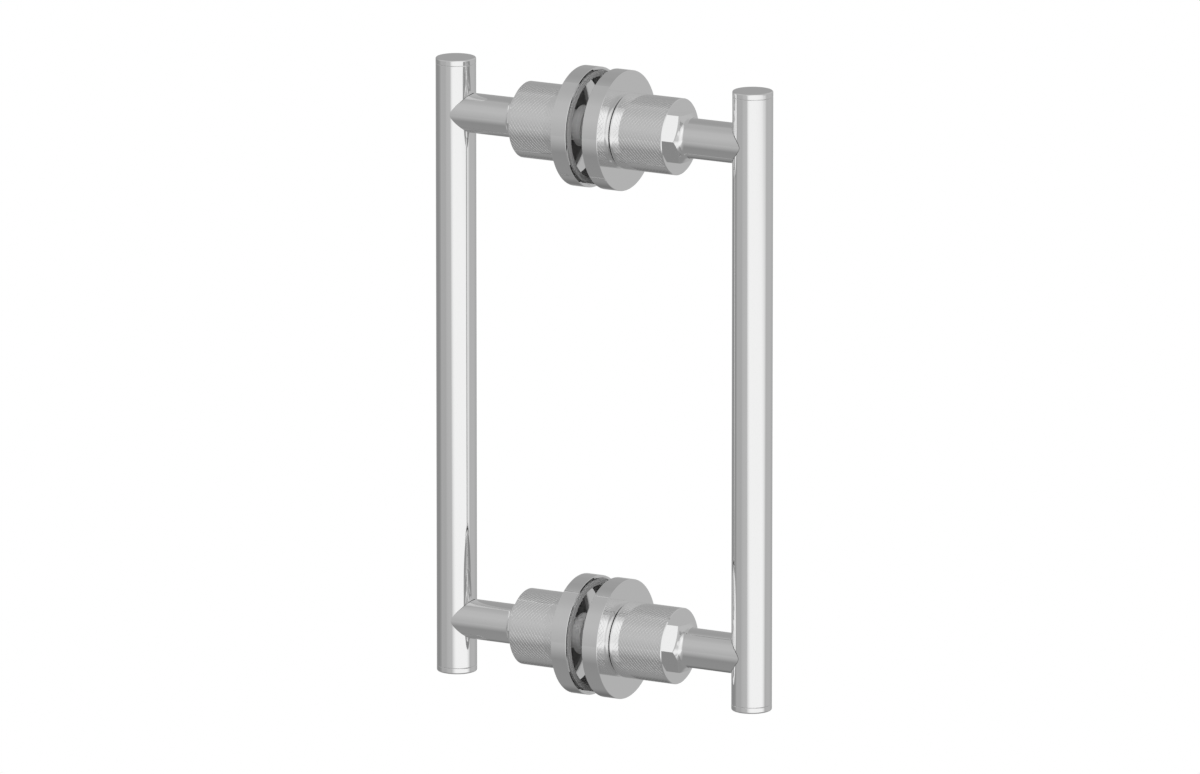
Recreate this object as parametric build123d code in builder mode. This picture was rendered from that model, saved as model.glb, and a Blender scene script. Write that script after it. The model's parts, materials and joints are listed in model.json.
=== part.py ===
from build123d import *
import math
import os

# Shower door handle: two upright grips, one on each face of a glass door. Each grip
# stands off the glass on two posts, and two studs through the glass join the sides.
# X runs along the posts from the inner side to the outer side, Z runs up the grips.
# The origin is in the middle of the glass, halfway between the two fittings.
# All sizes are in millimetres and all angles in degrees.

# Grips
grip_diameter = 15.875
grip_length = 246.4
grip_spacing = 132.9
tube_wall = 1.5
cap_height = 2.35
cap_rounding = 0.6
seam_rounding = 0.2
plug_length = 7.0
plug_clearance = 0.05
plug_chamfer = 0.5

# Posts, turned from hexagonal bar
fitting_spacing = 203.2
post_diameter = 15.7
hex_across_flats = 18.7
hex_height = 2.95
hex_chamfer_angle = 30.0
neck_radius = 1.9
spigot_diameter = 14.0
saddle_groove_width = 0.3
saddle_groove_depth = 0.3
saddle_groove_side = 0.08
spigot_end_gap = 0.3
spigot_chamfer = 0.8

# Knurled collars
collar_diameter = 30.1
collar_length = 23.9
collar_nose_length = 2.0
collar_nose_height = 1.35
collar_edge_chamfer = 0.3

# Cups that cover the holes in the glass
cup_diameter = 47.3
cup_height = 6.8
cup_wall = 0.95
cup_floor = 2.6
cup_edge_rounding = 0.2

# Gasket rings between the cups and the glass
glass_thickness = 6.4
gasket_proud = 0.4
gasket_width = 2.2
gasket_side_gap = 0.6

# Sleeves in the holes of the glass, with the studs inside them
sleeve_diameter = 16.3
sleeve_foot_height = 1.85
sleeve_waist_diameter = 12.0
stud_diameter = 8.0
stud_length = 46.0
stud_chamfer = 0.8
stud_clearance = 0.2
thread_clearance = 0.05
tapped_hole_depth = 16.0

# Grip sizes that follow from the ones above
grip_radius = grip_diameter / 2
tube_bore_radius = grip_radius - tube_wall
tube_length = grip_length - 2 * cap_height
grip_distance = grip_spacing / 2

# Distances outward from the middle of the glass
gasket_face = glass_thickness / 2
cup_rim = gasket_face + gasket_proud
cup_face = cup_rim + cup_height
cup_seat = cup_face - cup_floor
spigot_end = cup_face + spigot_end_gap
collar_end = cup_face + collar_length
hex_corner_end = collar_end + hex_height

# Radii around the axis of a fitting
stud_radius = stud_diameter / 2
stud_bore_radius = stud_radius + stud_clearance
tapped_radius = stud_radius + thread_clearance
spigot_radius = spigot_diameter / 2
collar_bore_radius = spigot_radius + thread_clearance
collar_radius = collar_diameter / 2
post_radius = post_diameter / 2
hex_corner_radius = hex_across_flats / 2 / math.cos(math.radians(30))
cup_radius = cup_diameter / 2
cup_bore_radius = cup_radius - cup_wall
gasket_outer_radius = cup_bore_radius - gasket_side_gap
gasket_inner_radius = gasket_outer_radius - gasket_width
sleeve_radius = sleeve_diameter / 2
sleeve_waist_radius = sleeve_waist_diameter / 2
sleeve_waist_end = cup_seat - sleeve_foot_height

sides = {"inner": -1, "outer": 1}
levels = {"upper": fitting_spacing / 2, "lower": -fitting_spacing / 2}


def profile_plane(side, height):
    """Plane through a fitting's axis: its x runs outward from the glass, its y runs up."""
    return Plane(origin=(0, 0, height), x_dir=(side, 0, 0), z_dir=(0, -side, 0))


def section_plane(side, height, distance):
    """Plane square to a fitting's axis at a distance from the glass, facing outward."""
    return Plane(origin=(side * distance, 0, height), x_dir=(0, 1, 0), z_dir=(side, 0, 0))


def grip_plane(side, height, direction=1):
    """Plane square to a grip's axis at a height, facing up or down."""
    return Plane(origin=(side * grip_distance, 0, height), x_dir=(1, 0, 0), z_dir=(0, 0, direction))


def fitting_axis(height):
    """Axis that the turned pieces of a fitting share."""
    return Axis((0, 0, height), (1, 0, 0))


def make_grip_tube(side):
    """Straight tube between the two end caps, with its outer edges eased at the seams."""
    with BuildPart() as tube:
        with BuildSketch(grip_plane(side, -tube_length / 2)):
            Circle(grip_radius)
            Circle(tube_bore_radius, mode=Mode.SUBTRACT)
        extrude(amount=tube_length)
        outer_edges = tube.edges().filter_by(GeomType.CIRCLE).sort_by(SortBy.RADIUS)[-2:]
        fillet(outer_edges, seam_rounding)
    return tube


def make_grip_cap(side, direction):
    """End cap with a rounded rim, flush with the tube, and a plug that goes inside it."""
    seat = grip_plane(side, direction * tube_length / 2, direction)
    with BuildPart() as cap:
        with BuildSketch(seat):
            Circle(grip_radius)
        extrude(amount=cap_height)
        rim = cap.edges().sort_by(Axis(seat.origin, seat.z_dir))[-1]
        fillet(rim, cap_rounding)
        seam = cap.edges().sort_by(Axis(seat.origin, seat.z_dir))[0]
        fillet(seam, seam_rounding)
        with BuildSketch(seat):
            Circle(tube_bore_radius - plug_clearance)
        extrude(amount=-plug_length)
        plug_end = cap.edges().sort_by(Axis(seat.origin, seat.z_dir))[0]
        chamfer(plug_end, plug_chamfer)
    return cap


def make_post(side, height):
    """Post with a hexagon and a threaded spigot at the collar, and a saddle at the grip."""
    chamfer_slope = math.tan(math.radians(hex_chamfer_angle))
    neck_corner = (hex_corner_end + (hex_corner_radius - post_radius) * chamfer_slope, post_radius)
    with BuildPart() as post:
        # hexagon's chamfer, hollow neck and round stem as one turned profile
        with BuildSketch(profile_plane(side, height)) as blank:
            with BuildLine():
                Polyline(
                    (collar_end, 0),
                    (collar_end, hex_corner_radius),
                    (hex_corner_end, hex_corner_radius),
                    neck_corner,
                    (grip_distance, post_radius),
                    (grip_distance, 0),
                    close=True,
                )
            make_face()
            neck = blank.vertices().sort_by_distance(neck_corner)[0]
            fillet(neck, neck_radius)
        revolve(axis=fitting_axis(height))

        # six flats, with two of the corners level with the axis
        with BuildSketch(section_plane(side, height, collar_end)):
            RegularPolygon(hex_corner_radius, 6)
        extrude(amount=grip_distance - collar_end, mode=Mode.INTERSECT)

        # spigot inside the collar, tapped for the stud
        with BuildSketch(section_plane(side, height, spigot_end)):
            Circle(spigot_radius)
        extrude(amount=collar_end - spigot_end)
        mouth = post.edges().sort_by(Axis((0, 0, height), (side, 0, 0)))[0]
        chamfer(mouth, spigot_chamfer)
        with BuildSketch(section_plane(side, height, spigot_end)):
            Circle(tapped_radius)
        extrude(amount=tapped_hole_depth, mode=Mode.SUBTRACT)

        # saddle that fits around the grip tube
        with BuildSketch(grip_plane(side, height - post_diameter)):
            Circle(grip_radius)
        extrude(amount=2 * post_diameter, mode=Mode.SUBTRACT)

        # shallow groove along the saddle's edge, narrow at its two points
        with BuildPart(mode=Mode.SUBTRACT):
            with BuildSketch(section_plane(side, height, grip_distance - post_diameter)):
                Circle(post_diameter)
                Circle(post_radius - saddle_groove_depth, mode=Mode.SUBTRACT)
            extrude(amount=post_diameter)
            with BuildSketch(grip_plane(side, height - post_diameter)):
                Ellipse(grip_radius + saddle_groove_width, grip_radius + saddle_groove_side)
            extrude(amount=2 * post_diameter, mode=Mode.INTERSECT)
    return post


def make_collar(side, height):
    """Round collar over the spigot, with a curved nose against the cup."""
    nose_radius = collar_radius - collar_nose_height
    with BuildPart() as collar:
        with BuildSketch(profile_plane(side, height)):
            with BuildLine():
                EllipticalCenterArc(
                    center=(cup_face + collar_nose_length, nose_radius),
                    x_radius=collar_nose_length,
                    y_radius=collar_nose_height,
                    start_angle=90,
                    arc_size=90,
                )
                Polyline(
                    (cup_face, nose_radius),
                    (cup_face, collar_bore_radius),
                    (collar_end, collar_bore_radius),
                    (collar_end, collar_radius - collar_edge_chamfer),
                    (collar_end - collar_edge_chamfer, collar_radius),
                    (cup_face + collar_nose_length, collar_radius),
                )
            make_face()
        revolve(axis=fitting_axis(height))
    return collar


def make_cup(side, height):
    """Shallow cup with its open side towards the glass."""
    with BuildPart() as cup:
        with BuildSketch(section_plane(side, height, cup_rim)):
            Circle(cup_radius)
        extrude(amount=cup_height)
        fillet(cup.edges().filter_by(GeomType.CIRCLE), cup_edge_rounding)
        with BuildSketch(section_plane(side, height, cup_rim)):
            Circle(cup_bore_radius)
        extrude(amount=cup_height - cup_floor, mode=Mode.SUBTRACT)
        with BuildSketch(section_plane(side, height, cup_seat)):
            Circle(stud_bore_radius)
        extrude(amount=cup_floor, mode=Mode.SUBTRACT)
    return cup


def make_gasket(side, height):
    """Soft ring inside the cup that stands a little proud and rests on the glass."""
    with BuildPart() as gasket:
        with BuildSketch(section_plane(side, height, gasket_face)):
            Circle(gasket_outer_radius)
            Circle(gasket_inner_radius, mode=Mode.SUBTRACT)
        extrude(amount=cup_seat - gasket_face)
    return gasket


def make_sleeve(height):
    """Sleeve through the hole in the glass, with a wide foot on the floor of each cup."""
    with BuildPart() as sleeve:
        with BuildSketch(section_plane(1, height, -cup_seat)):
            Circle(sleeve_radius)
            Circle(stud_bore_radius, mode=Mode.SUBTRACT)
        extrude(amount=2 * cup_seat)
        with BuildSketch(section_plane(1, height, -sleeve_waist_end)):
            Circle(sleeve_radius)
            Circle(sleeve_waist_radius, mode=Mode.SUBTRACT)
        extrude(amount=2 * sleeve_waist_end, mode=Mode.SUBTRACT)
    return sleeve


def make_stud(height):
    """Headless stud that draws the two posts together."""
    with BuildPart() as stud:
        with BuildSketch(section_plane(1, height, -stud_length / 2)):
            Circle(stud_radius)
        extrude(amount=stud_length)
        chamfer(stud.edges().filter_by(GeomType.CIRCLE), stud_chamfer)
    return stud


def save(piece, name):
    """Write one finished piece to its own file."""
    piece.part.label = name
    export_step(piece.part, f"parts/{name}.step")


os.makedirs("parts", exist_ok=True)

for side_name, side in sides.items():
    save(make_grip_tube(side), f"{side_name}_grip_tube")
    save(make_grip_cap(side, 1), f"{side_name}_top_cap")
    save(make_grip_cap(side, -1), f"{side_name}_bottom_cap")
    for level_name, height in levels.items():
        save(make_post(side, height), f"{side_name}_{level_name}_post")
        save(make_collar(side, height), f"{side_name}_{level_name}_collar")
        save(make_cup(side, height), f"{side_name}_{level_name}_cup")
        save(make_gasket(side, height), f"{side_name}_{level_name}_gasket")

for level_name, height in levels.items():
    save(make_sleeve(height), f"{level_name}_sleeve")
    save(make_stud(height), f"{level_name}_stud")
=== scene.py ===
import json
import math

import bmesh
import bpy
from mathutils import Matrix, Vector


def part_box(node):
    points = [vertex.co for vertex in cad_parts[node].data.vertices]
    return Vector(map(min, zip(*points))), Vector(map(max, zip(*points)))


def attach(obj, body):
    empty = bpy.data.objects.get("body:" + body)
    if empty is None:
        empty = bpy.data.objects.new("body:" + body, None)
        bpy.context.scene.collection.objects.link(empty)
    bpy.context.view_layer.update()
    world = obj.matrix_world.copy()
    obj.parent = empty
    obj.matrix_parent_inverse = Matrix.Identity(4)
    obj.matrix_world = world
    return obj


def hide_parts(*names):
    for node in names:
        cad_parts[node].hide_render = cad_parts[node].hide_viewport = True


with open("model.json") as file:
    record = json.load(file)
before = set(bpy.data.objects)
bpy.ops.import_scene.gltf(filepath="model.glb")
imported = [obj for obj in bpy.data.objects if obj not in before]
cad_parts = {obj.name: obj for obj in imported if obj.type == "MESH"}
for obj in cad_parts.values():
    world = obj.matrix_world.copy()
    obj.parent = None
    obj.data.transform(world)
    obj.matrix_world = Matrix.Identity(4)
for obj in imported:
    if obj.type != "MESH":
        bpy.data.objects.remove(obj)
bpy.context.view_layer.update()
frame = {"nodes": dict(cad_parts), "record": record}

# Shower door handle: two chrome grips on posts with knurled collars and cups.
# The frame is in metres: X along the posts, Z up the grips, the glass at X = 0.

MM = 0.001

sides = {"inner": -1, "outer": 1}
levels = ("upper", "lower")


# Helpers


def linear(hex_colour):
    """sRGB hex colour as linear red, green, blue and alpha."""
    channels = [int(hex_colour[i:i + 2], 16) / 255 for i in (1, 3, 5)]
    return [c / 12.92 if c < 0.04045 else ((c + 0.055) / 1.055) ** 2.4 for c in channels] + [1.0]


def add_node(tree, kind, settings=None, links=None):
    """New node with its settings, inputs and links. Settings name properties or inputs."""
    node = tree.nodes.new(kind)
    for name, value in (settings or {}).items():
        if hasattr(node, name):
            setattr(node, name, value)
        else:
            node.inputs[name].default_value = value
    for name, output in (links or {}).items():
        tree.links.new(output, node.inputs[name])
    return node


def new_material(name):
    """Empty node material with its output node."""
    material = bpy.data.materials.new(name)
    material.use_nodes = True
    material.node_tree.nodes.clear()
    output = material.node_tree.nodes.new("ShaderNodeOutputMaterial")
    return material, material.node_tree, output


def object_from(bm, name, material):
    """Object with the bmesh as its mesh, at the origin, unturned and unscaled."""
    mesh = bpy.data.meshes.new(name)
    bm.to_mesh(mesh)
    bm.free()
    mesh.materials.append(material)
    piece = bpy.data.objects.new(name, mesh)
    bpy.context.scene.collection.objects.link(piece)
    return piece


def direction(azimuth, elevation):
    """Direction from the handle, in degrees round from the front to the right and up from level."""
    a, e = math.radians(azimuth), math.radians(elevation)
    return Vector((math.sin(a) * math.cos(e), -math.cos(a) * math.cos(e), math.sin(e)))


# Materials. A noise of scale 180 has 180 cells to the metre, about 5.5 mm each.


def polished_chrome():
    """Chrome plate on polished brass: mirror-bright and neutral, with a trace of haze and soft waves."""
    material, tree, output = new_material("polished_chrome_plate")
    place = add_node(tree, "ShaderNodeTexCoord")
    # buffing leaves waves about 5.5 mm long and only microns high
    waves = add_node(
        tree, "ShaderNodeTexNoise", {"Scale": 180.0, "Detail": 1.0}, {"Vector": place.outputs["Object"]}
    )
    bump = add_node(
        tree, "ShaderNodeBump", {"Strength": 0.02, "Distance": 0.0001}, {"Height": waves.outputs["Fac"]}
    )
    # water marks and finger haze come and go over about 11 mm
    haze = add_node(
        tree, "ShaderNodeTexNoise", {"Scale": 90.0, "Detail": 3.0}, {"Vector": place.outputs["Object"]}
    )
    rough = add_node(
        tree,
        "ShaderNodeMapRange",
        {"From Min": 0.4, "From Max": 0.75, "To Min": 0.03, "To Max": 0.06},
        {"Value": haze.outputs["Fac"]},
    )
    shader = add_node(
        tree,
        "ShaderNodeBsdfPrincipled",
        {"Base Color": linear("#F7F7F7"), "Metallic": 1.0},
        {"Roughness": rough.outputs["Result"], "Normal": bump.outputs["Normal"]},
    )
    tree.links.new(shader.outputs["BSDF"], output.inputs["Surface"])
    return material


def gasket_plastic():
    """Moulded thermoplastic rubber: dull grey with a fine even grain."""
    material, tree, output = new_material("moulded_grey_rubber")
    place = add_node(tree, "ShaderNodeTexCoord")
    # the mould's etched grain is 0.4 mm
    grain = add_node(
        tree, "ShaderNodeTexNoise", {"Scale": 2500.0, "Detail": 2.0}, {"Vector": place.outputs["Object"]}
    )
    bump = add_node(
        tree, "ShaderNodeBump", {"Strength": 0.25, "Distance": 0.00005}, {"Height": grain.outputs["Fac"]}
    )
    shader = add_node(
        tree,
        "ShaderNodeBsdfPrincipled",
        {"Base Color": linear("#8A8A8A"), "Roughness": 0.62, "IOR": 1.5},
        {"Normal": bump.outputs["Normal"]},
    )
    tree.links.new(shader.outputs["BSDF"], output.inputs["Surface"])
    return material


def sleeve_nylon():
    """Moulded nylon: satin and pale grey, slightly mottled."""
    material, tree, output = new_material("moulded_grey_nylon")
    place = add_node(tree, "ShaderNodeTexCoord")
    # the flow of the melt leaves patches of 2.5 mm
    mottle = add_node(
        tree, "ShaderNodeTexNoise", {"Scale": 400.0, "Detail": 3.0}, {"Vector": place.outputs["Object"]}
    )
    colour = add_node(tree, "ShaderNodeMix", {"data_type": "RGBA"}, {"Factor": mottle.outputs["Fac"]})
    colour.inputs["A"].default_value = linear("#D2D2D2")
    colour.inputs["B"].default_value = linear("#DCDCDC")
    shader = add_node(
        tree,
        "ShaderNodeBsdfPrincipled",
        {"Roughness": 0.45, "IOR": 1.53},
        {"Base Color": colour.outputs["Result"]},
    )
    tree.links.new(shader.outputs["BSDF"], output.inputs["Surface"])
    return material


def stud_steel():
    """Turned stainless steel: satin, with fine rings around its axis."""
    material, tree, output = new_material("turned_stainless_steel")
    place = add_node(tree, "ShaderNodeTexCoord")
    # a band repeats each 2 pi / (20 x 250) m, which is the 1.25 mm of an M8 thread
    rings = add_node(
        tree,
        "ShaderNodeTexWave",
        {"wave_type": "BANDS", "bands_direction": "X", "Scale": 250.0},
        {"Vector": place.outputs["Object"]},
    )
    bump = add_node(
        tree, "ShaderNodeBump", {"Strength": 0.4, "Distance": 0.0001}, {"Height": rings.outputs["Fac"]}
    )
    shader = add_node(
        tree,
        "ShaderNodeBsdfPrincipled",
        {"Base Color": linear("#C8C8C6"), "Metallic": 1.0, "Roughness": 0.3},
        {"Normal": bump.outputs["Normal"]},
    )
    tree.links.new(shader.outputs["BSDF"], output.inputs["Surface"])
    return material


# Knurled collars

# the turned shape, with a slit under its nose that gives the dark line where it meets the cup
collar_radius = 15.05 * MM
bore_radius = 7.05 * MM
nose_length = 2.0 * MM
nose_height = 1.35 * MM
nose_slit = 0.1 * MM
nose_slit_depth = 1.0 * MM
nose_steps = 12
edge_chamfer = 0.3 * MM
knurl_start = 2.4 * MM

# 48 grooves run each way round the collar, and their crossings lie 1.445 mm apart along it.
# Each is a V of 90 degrees, as a knurling wheel presses it.
knurl_starts = 48
row_pitch = 1.445 / 2 * MM
column_turn = math.pi / knurl_starts
knurl_depth = 0.06 * MM
groove_half_width = 0.06 * MM
# from the middle of a diamond (0) to the bottom of its grooves (1), the walls begin here
wall_start = 0.7

# what lies further in than this belongs to the bore or the faces, not to the knurled band
band_foot = collar_radius - 3 * knurl_depth
merge_distance = 0.0001 * MM
tolerance = 0.001 * MM
crease_angle = math.radians(30)


def knurl_place(point, foot, height, outward):
    """Row and column of a point on the knurled band, counted in half spacings of the grooves."""
    row = ((point.x - foot) * outward - knurl_start) / row_pitch
    column = math.atan2(point.y, point.z - height) / column_turn
    return row, column


def knurled_collar(side, level, material):
    """Collar with a curved nose and a band of diamond knurling."""
    low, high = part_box(f"{side}_{level}_collar")
    length = high[0] - low[0]
    height = (low[2] + high[2]) / 2
    outward = sides[side]
    foot = low[0] if outward > 0 else high[0]
    reach = (length - edge_chamfer - knurl_start) / row_pitch
    rows = int(reach)

    # outline along X from the cup's face to the far end, with a thin slit under the nose
    slit_foot = collar_radius - nose_height - nose_slit_depth
    outline = [(0, bore_radius), (0, slit_foot), (nose_slit, slit_foot)]
    for i in range(nose_steps + 1):
        turn = math.radians(90 * i / nose_steps)
        outline.append((
            nose_length - (nose_length - nose_slit) * math.cos(turn),
            collar_radius - nose_height * (1 - math.sin(turn)),
        ))
    outline += [(knurl_start + row * row_pitch, collar_radius) for row in range(rows + 1)]
    outline += [
        (length - edge_chamfer, collar_radius),
        (length, collar_radius - edge_chamfer),
        (length, bore_radius),
    ]

    bm = bmesh.new()
    points = [bm.verts.new((foot + outward * x, 0, height + radius)) for x, radius in outline]
    edges = [bm.edges.new(pair) for pair in zip(points, points[1:] + points[:1])]
    bmesh.ops.spin(
        bm, geom=points + edges, cent=(0, 0, height), axis=(1, 0, 0),
        angle=2 * math.pi, steps=2 * knurl_starts, use_merge=True,
    )
    bmesh.ops.remove_doubles(bm, verts=bm.verts, dist=merge_distance)
    bmesh.ops.recalc_face_normals(bm, faces=bm.faces)

    # the grooves cross at every second point, and the middles of the diamonds are at the others
    crossings = []
    middles = []
    ends = []
    for v in bm.verts:
        row, column = (round(n, 3) for n in knurl_place(v.co, foot, height, outward))
        if not 0 <= row <= rows or math.hypot(v.co.y, v.co.z - height) < collar_radius - tolerance:
            continue
        if (round(row) + round(column)) % 2 == 0:
            crossings.append(v)
        elif 0 < row < rows:
            middles.append(v)
        else:
            ends.append(v)
    bmesh.ops.connect_verts(bm, verts=crossings)
    bmesh.ops.dissolve_verts(bm, verts=middles)
    for v in crossings + ends:
        v.co.y *= 1 - knurl_depth / collar_radius
        v.co.z += (height - v.co.z) * knurl_depth / collar_radius
    diamonds = []
    for f in bm.faces:
        centre = f.calc_center_median()
        row = knurl_place(centre, foot, height, outward)[0]
        if 0 < row < rows and math.hypot(centre.y, centre.z - height) > band_foot:
            diamonds.append(f)
    bm.normal_update()
    bmesh.ops.inset_individual(bm, faces=diamonds, thickness=groove_half_width, depth=knurl_depth)

    piece = object_from(bm, f"{side}_{level}_knurled_collar", material)
    piece.data.shade_smooth()
    piece.data.set_sharp_from_angle(angle=crease_angle)
    shade_knurl(piece.data, foot, height, outward, reach)
    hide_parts(f"{side}_{level}_collar")
    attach(piece, "root")


def shade_knurl(mesh, foot, height, outward, reach):
    """Normals that follow the round collar on the diamonds and slope evenly on the walls of the grooves."""
    slope = knurl_depth / groove_half_width
    across = Vector((1 / row_pitch, 1 / (column_turn * collar_radius))).normalized()
    normals = [Vector((0, 0, 0)) for loop in mesh.loops]
    for face in mesh.polygons:
        row, column = knurl_place(face.center, foot, height, outward)
        around = math.hypot(face.center.y, face.center.z - height)
        # the plain rings before and after the knurl are taken in, the nose and the chamfer aren't
        if around < band_foot or not -0.5 < row < reach:
            continue
        # nearest middle of a diamond
        middle = (round(row), round(column))
        if sum(middle) % 2 == 0:
            if abs(row - middle[0]) > abs(column - middle[1]):
                middle = (middle[0] + (1 if row > middle[0] else -1), middle[1])
            else:
                middle = (middle[0], middle[1] + (1 if column > middle[1] else -1))
        along, round_it = row - middle[0], column - middle[1]
        wall = 0 < row < int(reach) and abs(along) + abs(round_it) > wall_start
        for i in face.loop_indices:
            point = mesh.vertices[mesh.loops[i].vertex_index].co
            turn = math.atan2(point.y, point.z - height)
            normal = Vector((0, math.sin(turn), math.cos(turn)))
            if wall:
                sideways = Vector((0, math.cos(turn), -math.sin(turn)))
                normal.x += outward * slope * math.copysign(across[0], along)
                normal += slope * math.copysign(across[1], round_it) * sideways
            normals[i] = normal.normalized()
    mesh.normals_split_custom_set(normals)


# Dress the object

chrome = polished_chrome()
finishes = {
    "polished_chrome": chrome,
    "knurled_chrome": chrome,
    "gasket_plastic": gasket_plastic(),
    "sleeve_plastic": sleeve_nylon(),
    "stud_steel": stud_steel(),
}
for part in frame["record"]["subparts"]:
    node = frame["nodes"][part["node"]]
    for material_slot in node.material_slots:
        material_slot.material = finishes[part["material_slot"]]

for side in sides:
    for level in levels:
        knurled_collar(side, level, chrome)


# Studio

# camera where the photograph was taken, about 6.5 m away with a long lens
camera_distance = 6.4883
camera_left = 1.394 * MM
camera_down = 1.629 * MM
sensor_width = 36.0
focal_length = 498.6
farthest_view = 100.0

back = direction(29.704, 12.585)
right = Vector((0, 0, 1)).cross(back).normalized()
up = back.cross(right)
camera_data = bpy.data.cameras.new("camera")
camera_data.sensor_width = sensor_width
camera_data.lens = focal_length
camera_data.clip_end = farthest_view
camera = bpy.data.objects.new("camera", camera_data)
camera.location = camera_distance * back - camera_left * right - camera_down * up
camera.rotation_euler = Matrix((right, up, back)).transposed().to_euler()
bpy.context.scene.collection.objects.link(camera)
bpy.context.scene.camera = camera


world_fill = 0.5
tent_radius = 6.0
# painted light: grey glow of the tent from straight down (0) to straight up (1)
tent_shades = (
    (0.0, 0.28),
    (0.2, 0.265),
    (0.27, 0.32),
    (0.35, 0.38),
    (0.44, 0.44),
    (0.7, 0.51),
    (0.85, 0.5),
    (0.93, 0.435),
)
floor_height = -6.05
floor_half_size = 20.0
floor_lift = 0.6

# name, azimuth, elevation, roll, half width, half height, softness, brightness, cover, distance
cards = (
    ("round_soft_light", 44.3, 14.8, 0.37, 1.11, 0.86, 0.92, 0.904, 1.0, 3.8),
    ("upper_soft_light", 40.0, 36.0, 0.0, 0.36, 0.3, 0.5, 0.97, 1.0, 3.4),
    ("long_soft_light", 50.9, -14.8, -0.08, 1.33, 0.16, 0.55, 0.934, 1.0, 2.8),
    ("left_dark_card", -100.4, -13.3, -0.05, 0.54, 0.2, 0.74, 0.159, 0.58, 5.1),
    ("far_dark_card", -123.1, 26.9, -0.43, 0.76, 0.61, 0.51, 0.0, 0.31, 4.9),
    ("small_dark_card", -152.2, -32.1, 0.45, 0.09, 0.41, 0.96, 0.006, 0.65, 4.8),
    ("front_pale_card", 8.8, -25.0, -0.6, 1.23, 0.38, 0.97, 0.561, 0.5, 4.6),
    ("back_pale_card", 138.0, -13.0, 0.0, 0.52, 0.13, 0.5, 0.5, 0.62, 4.4),
    ("low_pale_card", 178.0, -38.0, 0.0, 0.42, 0.3, 0.4, 0.5, 0.6, 4.5),
    ("back_shade_card", -150.0, 13.0, 0.0, 0.26, 0.2, 0.5, 0.365, 1.0, 4.2),
)


def seen_ray(tree):
    """1 for the rays of the camera, mirrors and glass, 0 for the rays that only carry light."""
    ray = add_node(tree, "ShaderNodeLightPath")
    camera_or_mirror = add_node(tree, "ShaderNodeMath", {"operation": "MAXIMUM"})
    tree.links.new(ray.outputs["Is Camera Ray"], camera_or_mirror.inputs[0])
    tree.links.new(ray.outputs["Is Glossy Ray"], camera_or_mirror.inputs[1])
    seen = add_node(tree, "ShaderNodeMath", {"operation": "MAXIMUM"})
    tree.links.new(camera_or_mirror.outputs["Value"], seen.inputs[0])
    tree.links.new(ray.outputs["Is Transmission Ray"], seen.inputs[1])
    return seen.outputs["Value"]


def studio_world():
    """White background for the camera and for mirrors and glass, and a soft grey fill for the rest."""
    world = bpy.data.worlds.new("studio_world")
    world.use_nodes = True
    tree = world.node_tree
    tree.nodes.clear()
    seen = seen_ray(tree)
    fill = add_node(tree, "ShaderNodeBackground", {"Color": (1, 1, 1, 1), "Strength": world_fill})
    white = add_node(tree, "ShaderNodeBackground", {"Color": (1, 1, 1, 1), "Strength": 1.0})
    mix = add_node(tree, "ShaderNodeMixShader", {}, {"Fac": seen})
    tree.links.new(fill.outputs["Background"], mix.inputs[1])
    tree.links.new(white.outputs["Background"], mix.inputs[2])
    add_node(tree, "ShaderNodeOutputWorld", {}, {"Surface": mix.outputs["Shader"]})
    bpy.context.scene.world = world


def only_mirrored(thing):
    """Sets a studio piece to be seen in the chrome only, so it hides nothing and casts no shadow."""
    thing.visible_camera = False
    thing.visible_diffuse = False
    thing.visible_shadow = False


def light_tent():
    """Tent around the handle, as for photographing polished metal: its grey is painted light, a glow that
    is darker below.
    """
    material, tree, output = new_material("glowing_grey_tent")
    place = add_node(tree, "ShaderNodeTexCoord")
    outward = add_node(
        tree, "ShaderNodeVectorMath", {"operation": "NORMALIZE"}, {"Vector": place.outputs["Object"]}
    )
    height = add_node(tree, "ShaderNodeSeparateXYZ", {}, {"Vector": outward.outputs["Vector"]})
    level = add_node(
        tree, "ShaderNodeMapRange", {"From Min": -1.0, "From Max": 1.0}, {"Value": height.outputs["Z"]}
    )
    shade = add_node(tree, "ShaderNodeValToRGB", {}, {"Fac": level.outputs["Result"]})
    ramp = shade.color_ramp
    while len(ramp.elements) < len(tent_shades):
        ramp.elements.new(0.5)
    for element, (position, grey) in zip(ramp.elements, tent_shades):
        element.position = position
        element.color = (grey, grey, grey, 1)
    # the tent's grey is painted light: the tent glows rather than being lit
    tent_glow = add_node(tree, "ShaderNodeEmission", {"Strength": 1.0}, {"Color": shade.outputs["Color"]})
    tree.links.new(tent_glow.outputs["Emission"], output.inputs["Surface"])
    bm = bmesh.new()
    bmesh.ops.create_uvsphere(bm, u_segments=48, v_segments=32, radius=tent_radius)
    bmesh.ops.reverse_faces(bm, faces=bm.faces)
    only_mirrored(object_from(bm, "light_tent", material))


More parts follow.
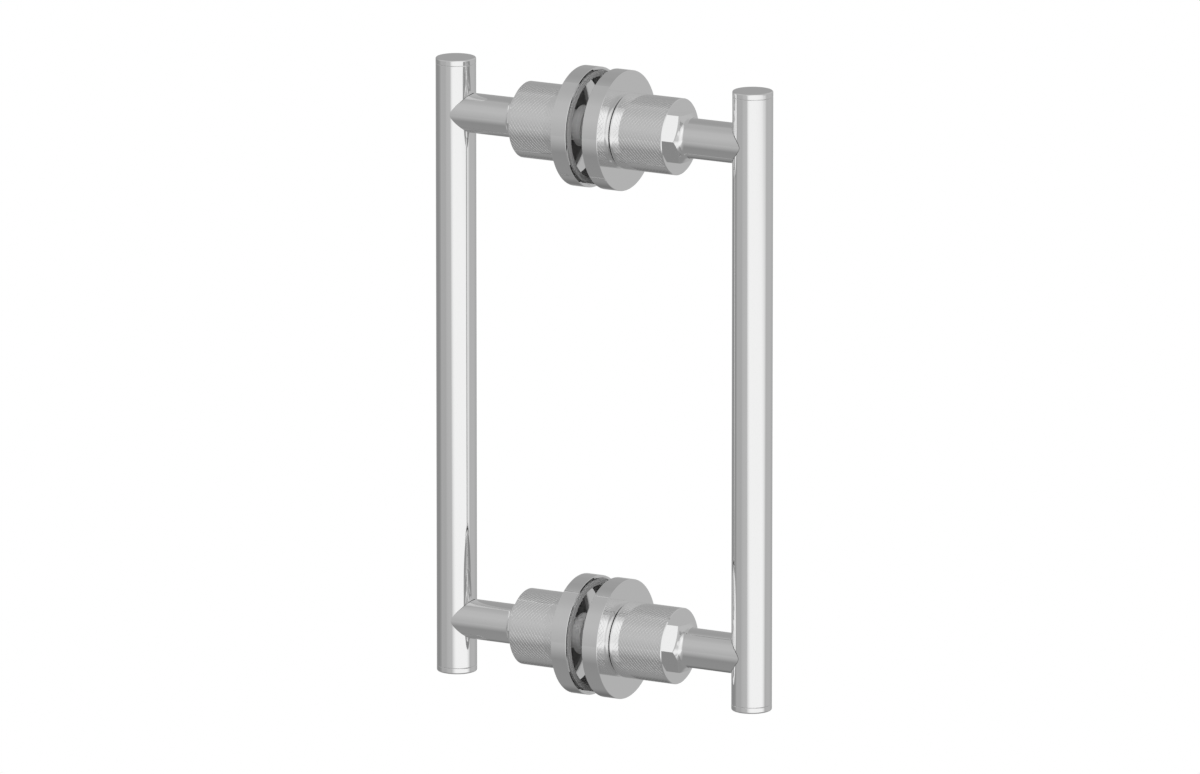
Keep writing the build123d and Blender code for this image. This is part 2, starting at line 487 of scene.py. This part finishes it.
def card(name, azimuth, elevation, roll, half_width, half_height, softness, brightness, cover, distance):
    """Soft-edged oval card that faces the handle: a bright one is a soft light, a dark one a shade.
    Roll is in radians, the half sizes are for a distance of 1, and cover is how much it hides."""
    material, tree, output = new_material(name)
    place = add_node(tree, "ShaderNodeTexCoord")
    reach = add_node(
        tree, "ShaderNodeVectorMath", {"operation": "LENGTH"}, {"Vector": place.outputs["Object"]}
    )
    edge = add_node(
        tree,
        "ShaderNodeMapRange",
        {
            "interpolation_type": "SMOOTHSTEP",
            "From Min": 1 - softness,
            "From Max": 1 + softness,
            "To Min": cover,
            "To Max": 0.0,
        },
        {"Value": reach.outputs["Value"]},
    )
    clear = add_node(tree, "ShaderNodeBsdfTransparent")
    glow = add_node(tree, "ShaderNodeEmission", {"Color": (1, 1, 1, 1), "Strength": brightness})
    mix = add_node(tree, "ShaderNodeMixShader", {}, {"Fac": edge.outputs["Result"]})
    tree.links.new(clear.outputs["BSDF"], mix.inputs[1])
    tree.links.new(glow.outputs["Emission"], mix.inputs[2])
    tree.links.new(mix.outputs["Shader"], output.inputs["Surface"])
    bm = bmesh.new()
    bmesh.ops.create_grid(bm, x_segments=1, y_segments=1, size=1 + softness)
    panel = object_from(bm, name, material)
    away = direction(azimuth, elevation)
    side = Vector((0, 0, 1)).cross(away).normalized()
    top = away.cross(side)
    turned = Matrix.Rotation(roll, 3, away) @ Matrix((side, top, away)).transposed()
    panel.matrix_world = (
        Matrix.Translation(distance * away)
        @ turned.to_4x4()
        @ Matrix.Diagonal((distance * half_width, distance * half_height, 1, 1))
    )
    only_mirrored(panel)


def pale_floor():
    """Pale floor below the handle. Some of its white is added for the camera, mirrors and glass only,
    so it gives no light to other surfaces and a shadow on it still shows."""
    material, tree, output = new_material("pale_floor")
    share = add_node(tree, "ShaderNodeMath", {"operation": "MULTIPLY"})
    tree.links.new(seen_ray(tree), share.inputs[0])
    share.inputs[1].default_value = floor_lift
    lift = add_node(
        tree, "ShaderNodeEmission", {"Color": (1, 1, 1, 1)}, {"Strength": share.outputs["Value"]}
    )
    paint = add_node(tree, "ShaderNodeBsdfDiffuse", {"Color": linear("#F2F2F0")})
    both = add_node(tree, "ShaderNodeAddShader")
    tree.links.new(paint.outputs["BSDF"], both.inputs[0])
    tree.links.new(lift.outputs["Emission"], both.inputs[1])
    tree.links.new(both.outputs["Shader"], output.inputs["Surface"])
    bm = bmesh.new()
    bmesh.ops.create_grid(bm, x_segments=1, y_segments=1, size=floor_half_size)
    bmesh.ops.translate(bm, vec=(0, 0, floor_height), verts=bm.verts)
    object_from(bm, "pale_floor", material)


def soft_lamp(name, azimuth, elevation, distance, size, power):
    """Soft square lamp that points at the handle. The chrome shows the bright cards in its place."""
    data = bpy.data.lights.new(name, "AREA")
    data.shape = "SQUARE"
    data.size = size
    data.energy = power
    lamp = bpy.data.objects.new(name, data)
    away = direction(azimuth, elevation)
    lamp.location = distance * away
    lamp.rotation_euler = away.to_track_quat("Z", "Y").to_euler()
    lamp.visible_camera = False
    lamp.visible_glossy = False
    bpy.context.scene.collection.objects.link(lamp)


studio_world()
light_tent()
for settings in cards:
    card(*settings)
pale_floor()
soft_lamp("main_lamp", azimuth=47, elevation=25, distance=2.5, size=1.6, power=60)
bpy.context.scene.view_settings.view_transform = "Standard"
